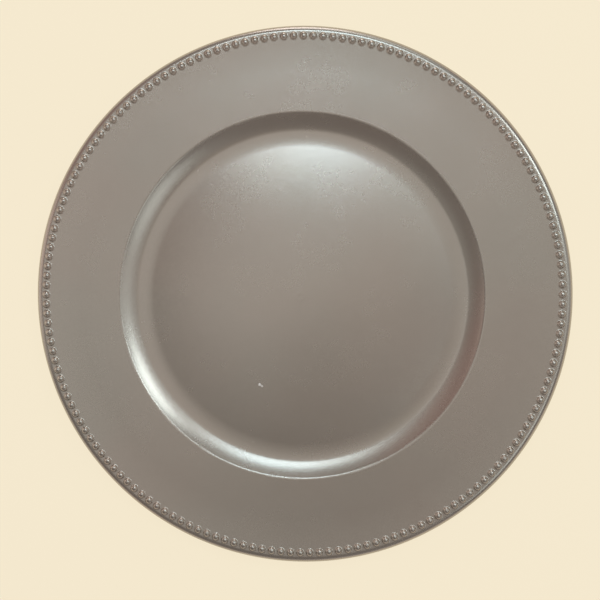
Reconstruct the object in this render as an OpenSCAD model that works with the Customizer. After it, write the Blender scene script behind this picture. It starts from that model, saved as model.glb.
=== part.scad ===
// Round charger plate with a shallow, slightly crowned well, a wide gently
// rising rim and a ring of small domes around its edge. Millimetres, +Z up. The
// origin is the centre of the foot ring's resting face, so the plate stands on z = 0.
//
// The plate is one shell of even wall thickness. It is drawn as four pieces
// that meet face to face: the well, the rim, the domes and the foot ring.

/* [Plate] */
// Outer diameter over the rolled edge (a 13 inch plate)
plate_d = 330; // [300:1:360]
// Wall thickness of the shell
wall = 2.2; // [1.8:0.1:2.8]

/* [Well] */
// Radius of the floor's lowest line, where the foot ring stands below it
well_r = 95.6; // [90:0.1:97]
// Downward slope of the crowned floor at its outer edge, in degrees
crown_a = 3.8; // [1:0.1:5]
// Radius of the gentle upturn around the floor
heel_r = 50; // [40:1:60]
// Slope at the end of the upturn, in degrees
heel_a = 7; // [5:0.5:9]
// Radius of the tighter bend at the foot of the wall
bend_r = 10; // [8:0.5:14]
// Slope at the end of the bend, in degrees
bend_a = 19.5; // [16:0.5:22]
// Radius of the concave wall between the bend and the rim
cove_r = 41.7; // [36:0.1:46]
// Slope of the wall where it reaches the rim, in degrees
cove_a = 32.5; // [30:0.5:36]
// Rounding of the crest between wall and rim
crest_r = 3.4; // [1:0.1:4]

/* [Rim] */
// Rise of the rim next to the crest, in degrees
rim_a = 3.3; // [2.8:0.1:3.6]
// Rise at the end of the nearly straight part, in degrees
flat_a = 3.9; // [3.8:0.1:5]
// Radius where the nearly straight part ends and the rim starts to steepen
flat_end_r = 137; // [128:1:142]
// Rise of the rim below the domes, in degrees
land_a = 7; // [6:0.1:9]
// Outside radius of the rolled edge
lip_r = 3.8; // [3.2:0.1:5]
// Height of the short straight skirt below the rolled edge
skirt_h = 0.6; // [0.2:0.1:1.5]

/* [Beads] */
// Number of domes around the rim
bead_n = 167; // [120:1:170]
// Diameter of one dome where it meets the rim
bead_d = 4.4; // [3.4:0.1:4.6]
// Height of one dome above the rim
bead_h = 1.7; // [1.2:0.1:2.1]
// Distance of the domes' centres from the plate's outer edge
bead_inset = 6.5; // [6.5:0.1:14]
// Direction of the first dome, in degrees
bead_phase = 0.72; // [0:0.01:2.1]

/* [Foot] */
// Height of the foot ring below the shell
foot_h = 3; // [2:0.1:4]
// Width of the foot ring at its root
foot_w = 3.4; // [2.6:0.1:5]
// Rounding of the foot ring's two lower edges
foot_edge_r = 0.7; // [0.3:0.1:0.9]

/* [Hidden] */
$fn = 96;

// Height of the floor's lowest line
floor_z = foot_h + wall;
// Outer radius of the shell
plate_r = plate_d / 2;

// Unit vectors along a slope a and at right angles to it, pointing up
function along(a) = [cos(a), sin(a)];
function up(a) = [-sin(a), cos(a)];

// A concave arc continues another one: the centre of the next arc lies on the
// line from the point where they meet to the first centre
function next_c(c, r, a, r2) = c + (r2 - r) * up(a);

// Upturn, bend and wall: three arcs in a row, each tangent to the one before
heel_c = [well_r, floor_z + heel_r];
bend_c = next_c(heel_c, heel_r, heel_a, bend_r);
cove_c = next_c(bend_c, bend_r, bend_a, cove_r);
floor_end = heel_c - heel_r * up(-crown_a);
heel_end = heel_c - heel_r * up(heel_a);
bend_end = bend_c - bend_r * up(bend_a);
cove_end = cove_c - cove_r * up(cove_a);

// Crown: the floor is a shallow arc, level in the middle and tangent to the upturn
floor_r = floor_end[0];
crown_r = round(100 * floor_r / sin(crown_a)) / 100;
crown_c = [0, floor_end[1] - sqrt(crown_r * crown_r - floor_r * floor_r)];

// Crest: the corner of wall and rim, rounded by a small arc
crest_t = crest_r * tan((cove_a - rim_a) / 2);
crest_corner = cove_end + crest_t * along(cove_a);
rim_start = crest_corner + crest_t * along(rim_a);
crest_c = rim_start - crest_r * up(rim_a);

// Rim: a very shallow arc from rim_a to flat_a, a second one that steepens to
// land_a, then a straight land that carries the domes
lip_cx = plate_r - lip_r;
lip_x0 = lip_cx - lip_r * sin(land_a);
bead_ring_r = min(plate_r - bead_inset, lip_x0 - bead_d / 2);
land_start_r = bead_ring_r - bead_d / 2 - 1.2;
flat_stop_r = min(flat_end_r, land_start_r - 3);
flat_r = round((flat_stop_r - rim_start[0]) / (sin(flat_a) - sin(rim_a)));
flat_c = rim_start + flat_r * up(rim_a);
flat_end = flat_c - flat_r * up(flat_a);
bow_r = round(100 * (land_start_r - flat_end[0]) / (sin(land_a) - sin(flat_a))) / 100;
bow_c = flat_end + bow_r * up(flat_a);
land_start = bow_c - bow_r * up(land_a);

// Underside of the crest: where the wall's outer arc crosses the rim's lower arc
cove_out = cove_r + wall;
flat_out = flat_r + wall;
cb = flat_c - cove_c;
cb_along = (cb * cb + cove_out * cove_out - flat_out * flat_out) / (2 * norm(cb));
cb_side = sqrt(cove_out * cove_out - cb_along * cb_along);
cb_u = cb / norm(cb);
crest_under = cove_c + cb_along * cb_u + cb_side * [-cb_u[1], cb_u[0]] * (cb_u[1] > 0 ? -1 : 1);
crest_under_a = asin((crest_under[0] - cove_c[0]) / cove_out);

// Rolled edge: a quarter arc that ends in a short straight skirt
lip_start = land_start + (lip_x0 - land_start[0]) / cos(land_a) * along(land_a);
lip_c = lip_start - lip_r * up(land_a);
lip_under = lip_c + (lip_r - wall) * up(land_a);
land_under = land_start - wall * up(land_a);

// Domes: caps of a sphere that meet the land in a circle of diameter bead_d
bead_sphere_r = (bead_d * bead_d / 4 + bead_h * bead_h) / (2 * bead_h);
bead_seat_z = land_start[1] + (bead_ring_r - land_start[0]) * tan(land_a);

// Part of a flat ring about c between radii r0 and r1, and between the
// directions of the unit vectors v0 and v1, which are less than 120 degrees apart
module arc_band(c, r0, r1, v0, v1) {
    far = 4 * r1;
    mid = (v0 + v1) / norm(v0 + v1);
    intersection() {
        translate(c) difference() {
            circle(r = r1);
            circle(r = r0);
        }
        polygon([c, c + far * v0, c + 2 * far * mid, c + far * v1]);
    }
}

// Moves to c in a whole step and a small one, which keeps far centres accurate
module place(c) {
    whole = [round(c[0]), round(c[1])];
    translate(whole) translate(c - whole) children();
}

// Part of the shell that follows an arc about c, from slope a0 to slope a1. The
// shell lies below the arc's upper line where side is 1 (concave from above) and
// where it is -1 (crowned). Neighbours share the same two points of each cut.
module shell_band(c, r, side, a0, a1, fn) {
    p0 = c - side * r * up(a0);
    p1 = c - side * r * up(a1);
    intersection() {
        place(c) difference() {
            circle(r = side > 0 ? r + wall : r, $fn = fn);
            circle(r = side > 0 ? r : r - wall, $fn = fn);
        }
        polygon([p0 + 4 * up(a0), p0 - 6 * up(a0), p1 - 6 * up(a1), p1 + 4 * up(a1)]);
    }
}

// The concave wall, from the bend to a cut through its end and the crest's underside
module wall_band() {
    cut = (crest_under - cove_end) / norm(crest_under - cove_end);
    intersection() {
        place(cove_c) difference() {
            circle(r = cove_out, $fn = 720);
            circle(r = cove_r, $fn = 720);
        }
        polygon([
            bend_end + 4 * up(bend_a),
            bend_end - 6 * up(bend_a),
            crest_under + 4 * cut,
            cove_end - 4 * cut
        ]);
    }
}

// Section of the well: crowned floor, upturn, bend, concave wall and rounded crest
module well_section() {
    shell_band(crown_c, crown_r, -1, 0, -crown_a, 2880);
    shell_band(heel_c, heel_r, 1, -crown_a, heel_a, 720);
    shell_band(bend_c, bend_r, 1, heel_a, bend_a, 360);
    wall_band();
    difference() {
        polygon([
            cove_c - (cove_r - 0.5) * up(crest_under_a - 3),
            cove_c - (cove_out - 0.5) * up(crest_under_a - 3),
            crest_under,
            rim_start,
            crest_corner,
            cove_end
        ]);
        place(cove_c) circle(r = cove_r, $fn = 720);
        difference() {
            polygon([cove_end, crest_corner + 0.2 * up((cove_a + rim_a) / 2), rim_start]);
            translate(crest_c) circle(r = crest_r);
        }
    }
}

// Section of the rim: nearly straight flange, bow, land, rolled edge and skirt
module rim_section() {
    seam = (crest_under - rim_start) / norm(crest_under - rim_start);
    difference() {
        shell_band(flat_c, flat_r, 1, rim_a - 0.05, flat_a, 2880);
        polygon([
            rim_start - 4 * seam,
            rim_start + 8 * seam,
            rim_start + 8 * seam - 12 * along(rim_a),
            rim_start - 4 * seam - 12 * along(rim_a)
        ]);
    }
    shell_band(bow_c, bow_r, 1, flat_a, land_a, 2880);
    polygon([land_start, land_under, lip_under, lip_start]);
    arc_band(lip_c, lip_r - wall, lip_r, up(land_a + 0.05), [1, 0]);
    translate([plate_r - wall, lip_c[1] - skirt_h]) square([wall, skirt_h]);
    difference() {
        translate([plate_r - wall / 2, lip_c[1] - skirt_h]) circle(r = wall / 2);
        translate([plate_r - wall - 1, lip_c[1] - skirt_h]) square([wall + 2, wall]);
    }
}

// Dished middle of the plate, up to and over the rounded crest
module well() {
    color([0.60, 0.55, 0.48]) rotate_extrude($fn = 192) well_section();
}

// Wide flange that rises to the rolled outer edge
module rim() {
    color([0.66, 0.61, 0.54]) rotate_extrude($fn = 192) rim_section();
}

// One dome: the cap of a sphere, trimmed to the land that it stands on
module bead() {
    difference() {
        translate([bead_ring_r, 0, bead_seat_z + bead_h - bead_sphere_r])
            sphere(r = bead_sphere_r, $fn = 32);
        bead_seat();
    }
}

// The space below the land's surface, as a solid ring under the domes
module bead_seat() {
    seat0 = land_start - 0.5 * along(land_a);
    seat1 = lip_start + 2 * along(land_a);
    rotate_extrude($fn = 192)
        polygon([seat0, [seat0[0], seat0[1] - 7], [seat1[0], seat0[1] - 7], seat1]);
}

// Ring of separate domes, evenly spaced around the rim
module rim_beads() {
    color([0.72, 0.68, 0.61])
        for (i = [0 : bead_n - 1])
            rotate([0, 0, bead_phase + i * 360 / bead_n]) bead();
}

// Standing ring under the floor's lowest line, with rounded lower edges; its
// top follows the shell's underside
module foot_ring() {
    half = foot_w / 2;
    color([0.52, 0.47, 0.41]) rotate_extrude($fn = 192) {
        difference() {
            translate([well_r - half, foot_edge_r]) square([foot_w, foot_h + 0.3 - foot_edge_r]);
            translate(heel_c) circle(r = heel_r + wall, $fn = 720);
        }
        translate([well_r, 0]) {
            translate([-half + foot_edge_r, 0]) square([foot_w - 2 * foot_edge_r, foot_edge_r]);
            for (s = [-1, 1])
                intersection() {
                    translate([s * (half - foot_edge_r), foot_edge_r]) circle(r = foot_edge_r);
                    translate([s > 0 ? half - foot_edge_r : -half, 0]) square([foot_edge_r, foot_edge_r]);
                }
        }
    }
}

well();
rim();
rim_beads();
foot_ring();
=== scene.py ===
import bpy
import math
from mathutils import Matrix, Vector, noise


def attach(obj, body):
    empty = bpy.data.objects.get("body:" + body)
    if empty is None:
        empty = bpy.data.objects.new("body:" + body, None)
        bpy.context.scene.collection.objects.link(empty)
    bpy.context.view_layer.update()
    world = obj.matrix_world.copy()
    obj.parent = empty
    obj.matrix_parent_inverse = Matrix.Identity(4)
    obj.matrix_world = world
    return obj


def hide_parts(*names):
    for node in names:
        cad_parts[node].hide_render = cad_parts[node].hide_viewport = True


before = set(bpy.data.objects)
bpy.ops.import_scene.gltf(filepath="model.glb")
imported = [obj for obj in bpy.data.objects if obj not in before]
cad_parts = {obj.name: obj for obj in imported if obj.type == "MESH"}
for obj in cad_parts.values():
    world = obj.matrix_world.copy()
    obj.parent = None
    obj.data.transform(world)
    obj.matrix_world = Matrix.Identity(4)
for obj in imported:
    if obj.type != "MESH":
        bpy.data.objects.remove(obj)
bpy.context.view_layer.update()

MM = 0.001

# ---------------------------------------------------------------- dimensions
# The same construction as the CAD source, in millimetres.
PLATE_R = 165.0
WALL = 2.2
WELL_R = 95.6
CROWN_A = math.radians(3.8)
HEEL_R = 50.0
HEEL_A = math.radians(7.0)
BEND_R = 10.0
BEND_A = math.radians(19.5)
COVE_R = 41.7
COVE_A = math.radians(32.5)
CREST_R = 3.4
RIM_A = math.radians(3.3)
FLAT_A = math.radians(3.9)
FLAT_END_R = 137.0
LAND_A = math.radians(7.0)
LIP_R = 3.8
SKIRT_H = 0.6
BEAD_N = 167
BEAD_D = 4.4
BEAD_H = 1.62        # a little under the CAD's domes, so that the waves below stay inside its box
BEAD_FILLET = 0.8
BEAD_INSET = 6.5
BEAD_PHASE = math.radians(0.72)
FOOT_H = 3.0
FOOT_W = 3.4
FOOT_EDGE_R = 0.7

FLOOR_Z = FOOT_H + WALL


def along(a):
    return Vector((math.cos(a), math.sin(a)))


def up(a):
    return Vector((-math.sin(a), math.cos(a)))


# upturn, bend and concave wall: three tangent arcs; then the crowned floor
HEEL_C = Vector((WELL_R, FLOOR_Z + HEEL_R))
BEND_C = HEEL_C + (BEND_R - HEEL_R) * up(HEEL_A)
COVE_C = BEND_C + (COVE_R - BEND_R) * up(BEND_A)
HEEL_OUT, BEND_OUT, COVE_OUT = HEEL_R + WALL, BEND_R + WALL, COVE_R + WALL
FLOOR_END = HEEL_C - HEEL_R * up(-CROWN_A)
COVE_END = COVE_C - COVE_R * up(COVE_A)
FLOOR_R = FLOOR_END.x
CROWN_R = FLOOR_R / math.sin(CROWN_A)
CROWN_CY = FLOOR_END.y - math.sqrt(CROWN_R ** 2 - FLOOR_R ** 2)
UNDER_R = HEEL_C.x - HEEL_OUT * math.sin(CROWN_A)
# crest
CREST_T = CREST_R * math.tan((COVE_A - RIM_A) / 2)
CREST_CORNER = COVE_END + CREST_T * along(COVE_A)
RIM_START = CREST_CORNER + CREST_T * along(RIM_A)
CREST_C = RIM_START - CREST_R * up(RIM_A)
# nearly straight flange, bow and the straight land under the domes
BEAD_RING_R = PLATE_R - BEAD_INSET
LAND_START_R = BEAD_RING_R - BEAD_D / 2 - 1.2
FLAT_R = (FLAT_END_R - RIM_START.x) / (math.sin(FLAT_A) - math.sin(RIM_A))
FLAT_OUT = FLAT_R + WALL
FLAT_C = RIM_START + FLAT_R * up(RIM_A)
FLAT_END = FLAT_C - FLAT_R * up(FLAT_A)
BOW_R = (LAND_START_R - FLAT_END.x) / (math.sin(LAND_A) - math.sin(FLAT_A))
BOW_OUT = BOW_R + WALL
BOW_C = FLAT_END + BOW_R * up(FLAT_A)
LAND_START = BOW_C - BOW_R * up(LAND_A)
# underside of the crest, where the wall's and the flange's lower arcs cross
_cb = FLAT_C - COVE_C
_ca = (_cb.dot(_cb) + COVE_OUT ** 2 - FLAT_OUT ** 2) / (2 * _cb.length)
_cs = math.sqrt(COVE_OUT ** 2 - _ca ** 2)
_cu = _cb.normalized()
_cside = -1 if _cu.y > 0 else 1
CREST_UNDER = COVE_C + _ca * _cu + _cside * _cs * Vector((-_cu.y, _cu.x))
CREST_UNDER_A = math.asin((CREST_UNDER.x - COVE_C.x) / COVE_OUT)
CREST_UNDER_B = math.asin((CREST_UNDER.x - FLAT_C.x) / FLAT_OUT)
# rolled edge
LIP_CX = PLATE_R - LIP_R
LIP_X0 = LIP_CX - LIP_R * math.sin(LAND_A)
LIP_START = LAND_START + (LIP_X0 - LAND_START.x) / math.cos(LAND_A) * along(LAND_A)
LIP_C = LIP_START - LIP_R * up(LAND_A)
LIP_UNDER = LIP_C + (LIP_R - WALL) * up(LAND_A)
LAND_UNDER = LAND_START - WALL * up(LAND_A)
RIM_TOP_Z = LIP_C.y + LIP_R


def arc(c, r, a0, a1, n):
    """Points from slope a0 to slope a1 on the upper side of a circle about c."""
    return [c + r * up(a0 + (a1 - a0) * i / n) for i in range(n + 1)]


def hollow(c, r, a0, a1, n):
    """Points from slope a0 to slope a1 on the lower side of a circle about c."""
    return [c - r * up(a0 + (a1 - a0) * i / n) for i in range(n + 1)]


def line(p, q, n):
    return [p + (q - p) * (i / n) for i in range(n + 1)]


def join(*runs):
    out = []
    for run in runs:
        for p in run:
            if not out or (out[-1] - p).length > 1e-4:
                out.append(p.copy())
    if (out[0] - out[-1]).length < 1e-4:
        out.pop()
    return out


def floor_top_z(r):
    return CROWN_CY + math.sqrt(CROWN_R ** 2 - r * r)


def floor_under_z(r):
    if r > UNDER_R:
        return HEEL_C.y - math.sqrt(HEEL_OUT ** 2 - (r - HEEL_C.x) ** 2)
    return CROWN_CY + math.sqrt((CROWN_R - WALL) ** 2 - r * r)


def rim_surface_z(r):
    """Height of the rim's top surface at radius r."""
    if r <= FLAT_END.x:
        return FLAT_C.y - math.sqrt(FLAT_R ** 2 - (r - FLAT_C.x) ** 2)
    if r <= LAND_START.x:
        return BOW_C.y - math.sqrt(BOW_R ** 2 - (r - BOW_C.x) ** 2)
    if r <= LIP_X0:
        return LAND_START.y + (r - LAND_START.x) * math.tan(LAND_A)
    return LIP_C.y + math.sqrt(max(LIP_R * LIP_R - (r - LIP_C.x) ** 2, 0.0))


# ------------------------------------------------------------- mesh builders
def new_object(name, verts, faces, smooth=True):
    me = bpy.data.meshes.new(name)
    me.from_pydata([tuple(v) for v in verts], [], faces)
    me.validate()
    for p in me.polygons:
        p.use_smooth = smooth
    ob = bpy.data.objects.new(name, me)
    bpy.context.scene.collection.objects.link(ob)
    return ob


def revolve(name, section, segs, lift=None, sharp=35.0):
    """A closed surface of revolution. section is a closed loop of (radius, height) in millimetres; points on the axis become one vertex."""
    verts, rings = [], []
    for p in section:
        if p.x < 1e-6:
            rings.append([len(verts)])
            verts.append(Vector((0, 0, p.y)))
            continue
        row = []
        for k in range(segs):
            t = 2 * math.pi * k / segs
            row.append(len(verts))
            verts.append(Vector((p.x * math.cos(t), p.x * math.sin(t), p.y)))
        rings.append(row)
    if lift is not None:
        for v in verts:
            v.z += lift(v)
    faces = []
    n = len(rings)
    for i in range(n):
        a, b = rings[i], rings[(i + 1) % n]
        if len(a) == 1 and len(b) == 1:
            continue
        for k in range(segs):
            m = (k + 1) % segs
            if len(a) == 1:
                faces.append((a[0], b[k], b[m]))
            elif len(b) == 1:
                faces.append((a[k], b[0], a[m]))
            else:
                faces.append((a[k], b[k], b[m], a[m]))
    ob = new_object(name, [(v.x * INSIDE * MM, v.y * INSIDE * MM, v.z * MM) for v in verts], faces)
    ob.data.update()
    return ob


def outward(ob):
    import bmesh
    bm = bmesh.new()
    bm.from_mesh(ob.data)
    bmesh.ops.recalc_face_normals(bm, faces=bm.faces)
    bm.to_mesh(ob.data)
    bm.free()
    return ob


def sharpen(ob, degrees):
    """Keeps edges bent by more than this many degrees crisp, and the rest smooth."""
    me = ob.data
    import bmesh
    bm = bmesh.new()
    bm.from_mesh(me)
    lim = math.radians(degrees)
    for e in bm.edges:
        if len(e.link_faces) == 2 and e.calc_face_angle(0) > lim:
            e.smooth = False
    bm.to_mesh(me)
    bm.free()


# The plan is drawn a hair smaller, so that it stays inside the flats of the CAD's mesh.
INSIDE = 0.99992


# Slow waves that a moulding keeps as it cools: a few hundredths of a millimetre.
def warp(v):
    p = Vector((v.x, v.y, 0.0))
    return 0.04 * noise.noise(p / 46.0 + Vector((3.1, 7.7, 0.4))) + 0.02 * noise.noise(p / 19.0 + Vector((11.3, 2.9, 1.6)))


# ---------------------------------------------------------------- well piece
def gate_mark(r):
    """The faint raised ring with a dimple that the mould's gate leaves in the middle of the floor."""
    return 0.035 * math.exp(-((r - 2.1) / 1.1) ** 2) - 0.03 * math.exp(-(r / 0.8) ** 2)


floor_radii = [0.25 * i for i in range(25)] + [6.0 + 2.8 * i for i in range(1, 31)]
floor_top = [Vector((r, floor_top_z(r) + (gate_mark(r) if r < 7 else 0.0))) for r in floor_radii]
heel_top = hollow(HEEL_C, HEEL_R, -CROWN_A, HEEL_A, 26)
bend_top = hollow(BEND_C, BEND_R, HEEL_A, BEND_A, 16)
cove_top = hollow(COVE_C, COVE_R, BEND_A, COVE_A, 26)
crest_top = arc(CREST_C, CREST_R, COVE_A, RIM_A, 14)
crest_top.insert(-1, RIM_START - 0.02 * along(RIM_A))
cove_low = hollow(COVE_C, COVE_OUT, CREST_UNDER_A, BEND_A, 20)
bend_low = hollow(BEND_C, BEND_OUT, BEND_A, HEEL_A, 14)
heel_low = hollow(HEEL_C, HEEL_OUT, HEEL_A, -CROWN_A, 22)
floor_low = [Vector((r, floor_under_z(r))) for r in [UNDER_R * (1 - i / 24) for i in range(25)]]
well_section = join(floor_top, heel_top, bend_top, cove_top, crest_top, line(RIM_START, CREST_UNDER, 2), cove_low, bend_low, heel_low, floor_low)

# ----------------------------------------------------------------- rim piece
flange_top = hollow(FLAT_C, FLAT_R, RIM_A, FLAT_A, 16)
bow_top = hollow(BOW_C, BOW_R, FLAT_A, LAND_A, 18)
land_top = line(LAND_START, LIP_START, 5)
lip_top = arc(LIP_C, LIP_R, LAND_A, -math.pi / 2, 36)
end_c = Vector((PLATE_R - WALL / 2, LIP_C.y - SKIRT_H))
edge = [end_c + WALL / 2 * Vector((math.cos(t), -math.sin(t))) for t in [math.pi * i / 18 for i in range(19)]]
lip_in = arc(LIP_C, LIP_R - WALL, -math.pi / 2, LAND_A, 20)
bow_low = hollow(BOW_C, BOW_OUT, LAND_A, FLAT_A, 14)
flange_low = hollow(FLAT_C, FLAT_OUT, FLAT_A, CREST_UNDER_B, 12)
rim_section = join(flange_top, bow_top, land_top, lip_top, edge, lip_in, line(LIP_UNDER, LAND_UNDER, 3), bow_low, flange_low, line(CREST_UNDER, RIM_START, 2))

SEGS = 360
well = outward(revolve("well_shell", well_section, SEGS, warp))
rim = outward(revolve("rim_shell", rim_section, SEGS, warp))
sharpen(well, 28)
sharpen(rim, 28)


# --------------------------------------------------------------- bead pieces
def bead_profile():
    """(distance from the dome's axis, height above the rim) down the dome and out along its root fillet."""
    a, h, f = BEAD_D / 2, BEAD_H, BEAD_FILLET
    ball = (a * a + h * h) / (2 * h)
    deep = ball - h
    cx = math.sqrt((ball + f) ** 2 - (f + deep) ** 2)
    th = math.asin((f + deep) / (ball + f))
    pts = []
    n = 11
    for i in range(n + 1):
        t = math.pi / 2 + (th - math.pi / 2) * i / n
        pts.append((ball * math.cos(t), -deep + ball * math.sin(t)))
    m = 6
    for i in range(1, m + 1):
        t = (math.pi + th) + (3 * math.pi / 2 - (math.pi + th)) * i / m
        pts.append((cx + f * math.cos(t), f + f * math.sin(t)))
    return pts


def beads(name):
    prof = bead_profile()
    segs = 24
    verts, faces = [], []
    reach = prof[-1][0]
    seat = rim_surface_z(BEAD_RING_R)
    for b in range(BEAD_N):
        t0 = BEAD_PHASE + 2 * math.pi * b / BEAD_N
        rad = Vector((math.cos(t0), math.sin(t0), 0))
        tan = Vector((-math.sin(t0), math.cos(t0), 0))
        base = len(verts)
        size = 0.992 + 0.02 * noise.noise(Vector((b * 1.37, 0.0, 5.0)))

        def place(d, h, t):
            x, y = d * math.cos(t), d * math.sin(t)
            p = rad * (BEAD_RING_R + x) + tan * y
            r = math.hypot(p.x, p.y)
            w = min(d / reach, 1.0)
            w = w * w * (3 - 2 * w)
            z = w * rim_surface_z(r) + (1 - w) * seat + h
            return Vector((p.x, p.y, z + warp(p)))

        verts.append(place(0, prof[0][1] * size, 0))
        for d, h in prof[1:]:
            for k in range(segs):
                verts.append(place(d, h * size, 2 * math.pi * k / segs))
        for k in range(segs):
            verts.append(place(reach - 0.05, -0.25, 2 * math.pi * k / segs))
        verts.append(place(0, -0.25, 0))
        rows = len(prof)
        for k in range(segs):
            m = (k + 1) % segs
            faces.append((base, base + 1 + k, base + 1 + m))
            for j in range(rows - 1):
                a = base + 1 + j * segs
                c = a + segs
                faces.append((a + k, c + k, c + m, a + m))
            last = base + 1 + (rows - 1) * segs
            faces.append((last + k, base + 1 + rows * segs, last + m))
    return new_object(name, [(v.x * INSIDE * MM, v.y * INSIDE * MM, v.z * MM) for v in verts], faces)


bead_ring = outward(beads("rim_bead_domes"))
sharpen(bead_ring, 50)

# ----------------------------------------------------------- foot ring piece
half = FOOT_W / 2


def foot_section():
    pts = []
    e = FOOT_EDGE_R
    root = 0.6

    def root_point(x, t):
        """A point of the fillet into the shell's curved underside."""
        lift = 1 - (root - root * math.cos(t)) / root
        return Vector((x, FOOT_H - root + root * math.cos(t) + 0.02 + (floor_under_z(x) - FOOT_H) * lift))

    for i in range(7):   # outer side
        t = math.pi / 2 * i / 6
        pts.append(root_point(WELL_R + half + root - root * math.sin(t), t))
    for i in range(9):
        t = math.pi / 2 * i / 8
        pts.append(Vector((WELL_R + half - e + e * math.cos(t), e - e * math.sin(t))))
    for i in range(9):
        t = math.pi / 2 * i / 8
        pts.append(Vector((WELL_R - half + e - e * math.sin(t), e - e * math.cos(t))))
    for i in range(7):   # inner side
        t = math.pi / 2 * (1 - i / 6)
        pts.append(root_point(WELL_R - half - root + root * math.sin(t), t))
    return join(pts)


def foot_lift(v):
    """The foot follows the shell's slow waves at its root and stays level where it rests."""
    k = min(max((v.z - 0.75) / 0.9, 0.0), 1.0)
    return k * warp(v)


foot = outward(revolve("foot_ring_shell", foot_section(), SEGS, foot_lift))
sharpen(foot, 40)


# ------------------------------------------------------------------ lacquer
class Graph:
    """Short calls for building a node material."""

    def __init__(self, name):
        self.mat = bpy.data.materials.new(name)
        self.mat.use_nodes = True
        self.nt = self.mat.node_tree
        self.bsdf = self.nt.nodes["Principled BSDF"]
        self.out = self.nt.nodes["Material Output"]
        self.pos = self.nt.nodes.new("ShaderNodeTexCoord").outputs["Object"]

    def link(self, a, b):
        self.nt.links.new(a, b)

    def put(self, socket, v):
        if hasattr(v, "node"):
            self.link(v, socket)
        elif hasattr(v, "__len__") and len(v) == 3 and socket.type == "RGBA":
            socket.default_value = (*v, 1)
        else:
            socket.default_value = v

    def math(self, op, a, b=0.0, c=None, clamp=False):
        n = self.nt.nodes.new("ShaderNodeMath")
        n.operation = op
        n.use_clamp = clamp
        self.put(n.inputs[0], a)
        self.put(n.inputs[1], b)
        if c is not None:
            self.put(n.inputs[2], c)
        return n.outputs[0]

    def vec(self, op, a, b=None, scale=None):
        n = self.nt.nodes.new("ShaderNodeVectorMath")
        n.operation = op
        self.put(n.inputs[0], a)
        if b is not None:
            self.put(n.inputs[1], b)
        if scale is not None:
            self.put(n.inputs["Scale"], scale)
        return n.outputs["Value"] if op in ("LENGTH", "DOT_PRODUCT", "DISTANCE") else n.outputs["Vector"]

    def noise(self, scale, detail=2.0, rough=0.5, shift=(0, 0, 0)):
        n = self.nt.nodes.new("ShaderNodeTexNoise")
        n.inputs["Scale"].default_value = scale
        n.inputs["Detail"].default_value = detail
        n.inputs["Roughness"].default_value = rough
        self.link(self.vec("ADD", self.pos, shift), n.inputs["Vector"])
        return n.outputs["Fac"]

    def cells(self, scale, shift=(0, 0, 0)):
        """A random colour for each small cell: the flakes of the metallic coat."""
        n = self.nt.nodes.new("ShaderNodeTexVoronoi")
        n.inputs["Scale"].default_value = scale
        self.link(self.vec("ADD", self.pos, shift), n.inputs["Vector"])
        return n.outputs["Color"]

    def ramp(self, v, lo, hi, to_lo=0.0, to_hi=1.0, smooth=True):
        n = self.nt.nodes.new("ShaderNodeMapRange")
        n.interpolation_type = "SMOOTHSTEP" if smooth else "LINEAR"
        n.clamp = True
        self.put(n.inputs["Value"], v)
        for k, x in (("From Min", lo), ("From Max", hi), ("To Min", to_lo), ("To Max", to_hi)):
            self.put(n.inputs[k], x)
        return n.outputs["Result"]

    def mix(self, f, a, b, kind="MIX"):
        n = self.nt.nodes.new("ShaderNodeMix")
        n.data_type = "RGBA"
        n.blend_type = kind
        self.put(n.inputs["Factor"], f)
        self.put(n.inputs[6], a)
        self.put(n.inputs[7], b)
        return n.outputs[2]

    def bump(self, h, dist, strength=1.0, normal=None):
        n = self.nt.nodes.new("ShaderNodeBump")
        n.inputs["Distance"].default_value = dist
        n.inputs["Strength"].default_value = strength
        self.link(h, n.inputs["Height"])
        if normal is not None:
            self.link(normal, n.inputs["Normal"])
        return n.outputs["Normal"]


def near_line(g, along_x, along_y, half_w, soft):
    """1 within half_w of the circle where radius = along_x and height = along_y, fading over soft (metres)."""
    dx = g.math("SUBTRACT", g.radius, along_x)
    dz = g.math("SUBTRACT", g.height, along_y)
    d = g.math("SQRT", g.math("ADD", g.math("MULTIPLY", dx, dx), g.math("MULTIPLY", dz, dz)))
    return g.ramp(d, half_w, half_w + soft, 1.0, 0.0)


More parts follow.
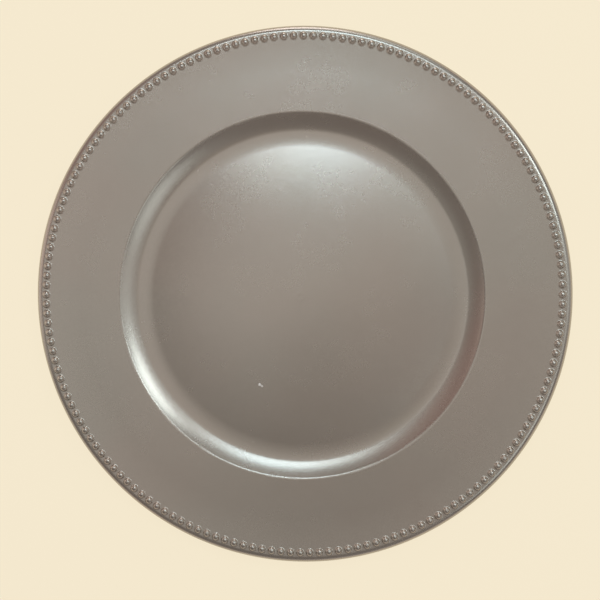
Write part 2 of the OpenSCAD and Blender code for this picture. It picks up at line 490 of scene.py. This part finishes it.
def lacquer(name, colour, rough, worn_foot=False):
    """Satin metallic lacquer: a tinted flake layer, a thin clear top layer, spray mottle and wear where a plate is handled."""
    g = Graph(name)
    sep = g.nt.nodes.new("ShaderNodeSeparateXYZ")
    g.link(g.pos, sep.inputs[0])
    flat = g.nt.nodes.new("ShaderNodeCombineXYZ")
    g.link(sep.outputs[0], flat.inputs[0])
    g.link(sep.outputs[1], flat.inputs[1])
    g.radius = g.vec("LENGTH", flat.outputs[0])
    g.height = sep.outputs[2]

    # spray mottle: broad warm and cool clouds, and a finer unevenness of the coat
    cloud = g.noise(9.0, 2.0, 0.5, (0.3, 0.7, 0.2))
    cloud2 = g.noise(21.0, 2.0, 0.55, (1.3, 0.2, 0.9))
    fine = g.noise(160.0, 4.0, 0.6, (0.5, 0.1, 0.4))
    warm = tuple(c * k for c, k in zip(colour, (1.015, 0.996, 0.992)))
    cool = tuple(c * k for c, k in zip(colour, (0.986, 1.004, 1.003)))
    col = g.mix(g.ramp(cloud, 0.32, 0.68), cool, warm)
    tone = g.math("ADD", g.ramp(cloud2, 0.3, 0.7, 0.99, 1.01), g.ramp(fine, 0.3, 0.7, -0.006, 0.006))

    # flakes: each cell has its own brightness and tilt
    flake = g.cells(2900.0)
    fsep = g.nt.nodes.new("ShaderNodeSeparateColor")
    g.link(flake, fsep.inputs[0])
    spark = g.math("POWER", fsep.outputs[0], 5.0)
    tone = g.math("ADD", tone, g.math("MULTIPLY_ADD", spark, 0.06, -0.01))
    tint = g.nt.nodes.new("ShaderNodeCombineColor")
    for i in range(3):
        g.link(tone, tint.inputs[i])
    col = g.mix(1.0, col, tint.outputs[0], "MULTIPLY")

    # wear: the rolled edge and the crest are rubbed, more in some places than in others
    patchy = g.noise(55.0, 5.0, 0.65, (2.0, 1.0, 0.0))
    edge = near_line(g, PLATE_R * MM, (LIP_C.y - 0.3) * MM, 0.5 * MM, 1.6 * MM)
    crest = near_line(g, CREST_CORNER.x * MM, CREST_CORNER.y * MM, 0.3 * MM, 1.0 * MM)
    rub = g.math("MULTIPLY", g.math("ADD", edge, g.math("MULTIPLY", crest, 0.5), clamp=True), g.ramp(patchy, 0.48, 0.68))
    col = g.mix(g.math("MULTIPLY", rub, 0.35), col, tuple(min(c * 1.25, 1.0) for c in colour))
    if worn_foot:
        scuff = g.math("MULTIPLY", g.ramp(g.height, 0.05 * MM, 0.6 * MM, 1.0, 0.0), g.ramp(patchy, 0.36, 0.56))
        col = g.mix(g.math("MULTIPLY", scuff, 0.8), col, (0.50, 0.47, 0.41))
        rub = g.math("ADD", rub, scuff, clamp=True)

    # a nick in the coat, low on the floor
    nick = g.vec("DISTANCE", g.pos, (NICK[0] * MM, NICK[1] * MM, NICK[2] * MM))
    nick2 = g.vec("DISTANCE", g.pos, (NICK[0] * MM + 0.0014, NICK[1] * MM - 0.0009, NICK[2] * MM))
    jag = g.ramp(g.noise(900.0, 3.0, 0.6), 0.3, 0.7, -0.00025, 0.00025)
    chip = g.math("ADD",
                  g.ramp(g.math("ADD", nick, jag), 0.0007, 0.0010, 1.0, 0.0),
                  g.ramp(g.math("ADD", nick2, jag), 0.0004, 0.0009, 0.8, 0.0), clamp=True)
    col = g.mix(chip, col, (0.95, 0.92, 0.86))

    g.link(col, g.bsdf.inputs["Base Color"])
    g.link(g.math("MULTIPLY_ADD", chip, -0.85, 0.85), g.bsdf.inputs["Metallic"])
    r = g.math("ADD", g.ramp(fine, 0.3, 0.7, rough - 0.003, rough + 0.003), g.ramp(cloud2, 0.3, 0.7, -0.004, 0.004))
    r = g.math("ADD", r, g.math("MULTIPLY", rub, 0.10))
    # the domes stand proud of the rim, so cloths have burnished them and laid their flakes flat
    burnish = g.ramp(g.height, (RIM_TOP_Z + 0.05) * MM, (RIM_TOP_Z + 0.5) * MM)
    r = g.math("SUBTRACT", r, g.math("MULTIPLY", burnish, 0.04))
    r = g.math("ADD", r, g.math("MULTIPLY", chip, 0.35), clamp=True)
    g.link(r, g.bsdf.inputs["Roughness"])

    # the base layer's normal: slight orange peel, then each flake's own tilt
    peel = g.noise(380.0, 2.0, 0.5, (0.9, 0.4, 0.1))
    peeled = g.bump(peel, 0.0000015)
    lean = g.math("SUBTRACT", FLAKE_TILT, g.math("MULTIPLY", burnish, 0.8 * FLAKE_TILT))
    tilt = g.vec("SCALE", g.vec("SUBTRACT", flake, (0.5, 0.5, 0.5)), scale=lean)
    g.link(g.vec("NORMALIZE", g.vec("ADD", peeled, tilt)), g.bsdf.inputs["Normal"])
    g.link(peeled, g.bsdf.inputs["Coat Normal"])
    g.bsdf.inputs["Coat Weight"].default_value = COAT
    g.bsdf.inputs["Coat Roughness"].default_value = COAT_ROUGH
    g.bsdf.inputs["Coat IOR"].default_value = 1.5
    return g.mat


NICK = (-25.4, -55.2, floor_top_z(60.8))
FLAKE_TILT = 0.025
COAT, COAT_ROUGH = 0.15, 0.13
TINT = (0.470, 0.425, 0.365)
lac = lacquer("satin_champagne_lacquer", TINT, 0.27)
lac_foot = lacquer("foot_lacquer_worn", (0.44, 0.395, 0.335), 0.34, worn_foot=True)
for ob, mat, nd, slot in (
    (well, lac, "well", "satin_lacquer"),
    (rim, lac, "rim", "satin_lacquer"),
    (bead_ring, lac, "rim_beads", "satin_lacquer"),
    (foot, lac_foot, "foot_ring", "foot_lacquer"),
):
    ob.data.materials.append(mat)
    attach(ob, "root")
    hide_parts(nd)

# -------------------------------------------------------------------- stage
floor_me = bpy.data.meshes.new("stage_floor")
S = 4.0
floor_me.from_pydata([(-S, -S, 0), (S, -S, 0), (S, S, 0), (-S, S, 0)], [], [(0, 1, 2, 3)])
floor = bpy.data.objects.new("stage_floor", floor_me)
bpy.context.scene.collection.objects.link(floor)
fm = bpy.data.materials.new("stage_cream")
fm.use_nodes = True
ft = fm.node_tree
fb = ft.nodes["Principled BSDF"]
CREAM = (0.913, 0.815, 0.624)
GLOW = 0.94          # how much of the floor's tone is its own, so that it stays even
fb.inputs["Base Color"].default_value = tuple(c * 0.10 for c in CREAM) + (1,)
fb.inputs["Roughness"].default_value = 0.9
fb.inputs["Specular IOR Level"].default_value = 0.0
fb.inputs["Emission Color"].default_value = (*CREAM, 1)
fb.inputs["Emission Strength"].default_value = GLOW
# seen from below, the floor is clear, so that the underside shows
clear = ft.nodes.new("ShaderNodeBsdfTransparent")
facing = ft.nodes.new("ShaderNodeNewGeometry")
pick = ft.nodes.new("ShaderNodeMixShader")
ft.links.new(facing.outputs["Backfacing"], pick.inputs[0])
ft.links.new(fb.outputs[0], pick.inputs[1])
ft.links.new(clear.outputs[0], pick.inputs[2])
ft.links.new(pick.outputs[0], ft.nodes["Material Output"].inputs["Surface"])
floor_me.materials.append(fm)

# ------------------------------------------------------------------- lights
world = bpy.data.worlds.new("soft_room")
bpy.context.scene.world = world
world.use_nodes = True
wt = world.node_tree
wt.nodes["Background"].inputs["Color"].default_value = (1.0, 0.87, 0.82, 1)
# the room is dim overhead and brighter in a low band all around, which only the domes and the rolled edge mirror
sky = wt.nodes.new("ShaderNodeTexCoord")
sky_z = wt.nodes.new("ShaderNodeSeparateXYZ")
band = wt.nodes.new("ShaderNodeMapRange")
band.interpolation_type = "SMOOTHSTEP"
wt.links.new(sky.outputs["Generated"], sky_z.inputs[0])
wt.links.new(sky_z.outputs[2], band.inputs["Value"])
for socket, value in (("From Min", 0.20), ("From Max", 0.42), ("To Min", 0.65), ("To Max", 0.21)):
    band.inputs[socket].default_value = value
wt.links.new(band.outputs["Result"], wt.nodes["Background"].inputs["Strength"])


def area(name, direction, dist, size, power, colour=(1, 1, 1), size_y=None):
    d = Vector(direction).normalized()
    li = bpy.data.lights.new(name, "AREA")
    li.energy = power
    li.color = colour
    li.shape = "ELLIPSE" if size_y else "DISK"
    li.size = size
    if size_y:
        li.size_y = size_y
    ob = bpy.data.objects.new(name, li)
    ob.location = d * dist
    ob.rotation_mode = "QUATERNION"
    ob.rotation_quaternion = (-d).to_track_quat("-Z", "Y")
    bpy.context.scene.collection.objects.link(ob)
    return ob


def polar(azimuth, tilt):
    """Unit vector tilted from straight up towards azimuth (0 = +X, 90 = +Y), in degrees."""
    a, t = math.radians(azimuth), math.radians(tilt)
    return (math.sin(t) * math.cos(a), math.sin(t) * math.sin(a), math.cos(t))


area("key_wide", polar(105, 24), 0.9, 1.0, 0.33, (1.0, 0.97, 0.91))
area("key_top", polar(90, 25.5), 0.9, 0.22, 0.58, (0.62, 0.84, 1.0))
area("key_left", polar(112, 26), 0.9, 0.20, 0.26, (0.76, 0.90, 1.0))
area("key_right", polar(70, 26), 0.9, 0.20, 0.14, (0.76, 0.90, 1.0))
area("side_right_high", polar(31, 36), 0.9, 0.28, 1.0, (0.77, 0.92, 1.0))
area("side_right_low", polar(-41, 36), 0.9, 0.32, 0.30, (0.83, 0.95, 1.0))
area("side_right_mid", polar(-4, 40), 0.9, 0.40, 0.22, (0.90, 0.97, 1.0))
area("right_low", polar(3, 64), 0.9, 0.40, 0.12, (0.84, 0.95, 1.0))
area("left_near", (-0.36, 0.02, 0.15), 0.39, 0.25, 0.08, (1.0, 0.95, 0.90))
area("left_room", polar(155, 52), 0.9, 0.80, 0.18, (1.0, 0.25, 0.20))
area("fill_left", polar(178, 12), 0.9, 0.36, 0.065, (0.92, 0.95, 1.0))
area("fill_left_low", polar(-150, 24), 0.9, 0.45, 0.07, (0.90, 1.0, 0.98))
area("fill_front", polar(-90, 13), 0.9, 0.45, 0.015, (1.0, 0.95, 0.88))
area("fill_back", polar(90, 11), 0.9, 0.40, 0.02, (1.0, 0.97, 0.90))
area("fill_over", polar(0, 5), 0.9, 0.90, 0.235, (1.0, 0.90, 0.84))
area("fill_right", polar(-8, 10), 0.9, 0.40, 0.045, (1.0, 0.97, 0.93))
area("top_low", polar(93, 72), 0.9, 0.35, 0.80, (1.0, 0.95, 0.98))
area("top_spot", polar(73, 60), 0.9, 0.34, 0.25, (0.90, 1.0, 0.99))
area("front_low", polar(-80, 70), 0.9, 0.60, 0.08, (0.90, 0.92, 1.0))


# ------------------------------------------------------------------- camera
DIST = 600.0
CX, CY = 0.0765, 0.0381
CAM_F = 980.3        # focal length in pixels of a 600-pixel picture
AT_X, AT_Y = -0.64, 3.15   # where the rim's centre lands, in pixels right of and above the picture's centre
aim = Vector((0, 0, RIM_TOP_Z))
c_dir = Vector((CX, CY, math.sqrt(1 - CX * CX - CY * CY)))
cam_data = bpy.data.cameras.new("camera")
cam_data.sensor_width = 36.0
cam_data.lens = CAM_F * 36.0 / 600.0
cam = bpy.data.objects.new("camera", cam_data)
bpy.context.scene.collection.objects.link(cam)
loc = aim + c_dir * DIST
fwd = -c_dir
right = fwd.cross(Vector((0, 1, 0))).normalized()
upv = right.cross(fwd).normalized()
fwd = (fwd * CAM_F - right * AT_X - upv * AT_Y).normalized()
right = fwd.cross(Vector((0, 1, 0))).normalized()
upv = right.cross(fwd).normalized()
rot = Matrix((right, upv, -fwd)).transposed()
cam.matrix_world = Matrix.Translation(loc * MM) @ rot.to_4x4()
cam_data.clip_start = 0.01
cam_data.clip_end = 50
bpy.context.scene.camera = cam

sc = bpy.context.scene
sc.view_settings.view_transform = "Standard"
sc.view_settings.look = "None"
